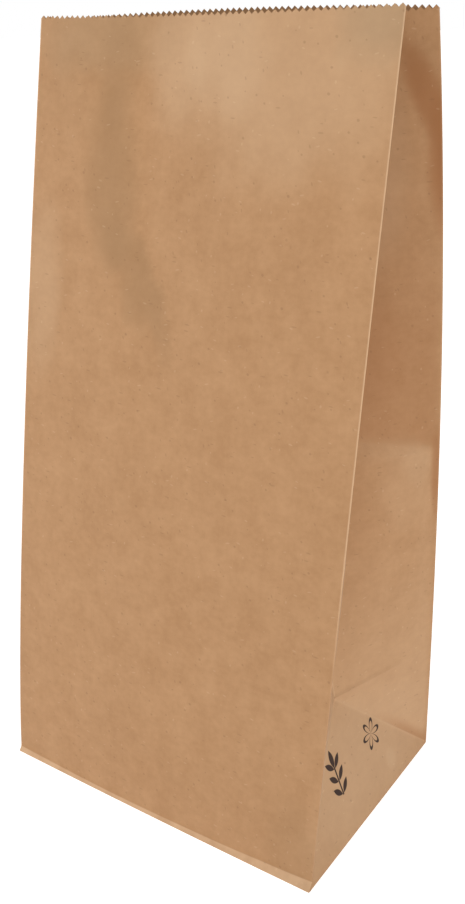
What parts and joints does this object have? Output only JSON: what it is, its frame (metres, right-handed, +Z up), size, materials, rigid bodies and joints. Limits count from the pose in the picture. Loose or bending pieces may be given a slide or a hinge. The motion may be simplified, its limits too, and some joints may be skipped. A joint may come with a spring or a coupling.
{
  "type": "brown paper lunch bag",
  "caption": "Standing kraft paper bag with folded-in gusset sides, a flat flapped base, a glued back seam and an open mouth with a toothed rim.",
  "frame": {"origin": "middle of the base, on the underside that it stands on", "axes": "+Z up the bag to its mouth, -Y towards the plain front panel, +X to the right as seen from the front"},
  "size_m": [0.156, 0.1081, 0.3156],
  "materials": {
    "kraft_paper": "matte unbleached kraft"
  },
  "bodies": {
    "root": {"paper_bag": "kraft_paper"}
  },
  "joints": []
}
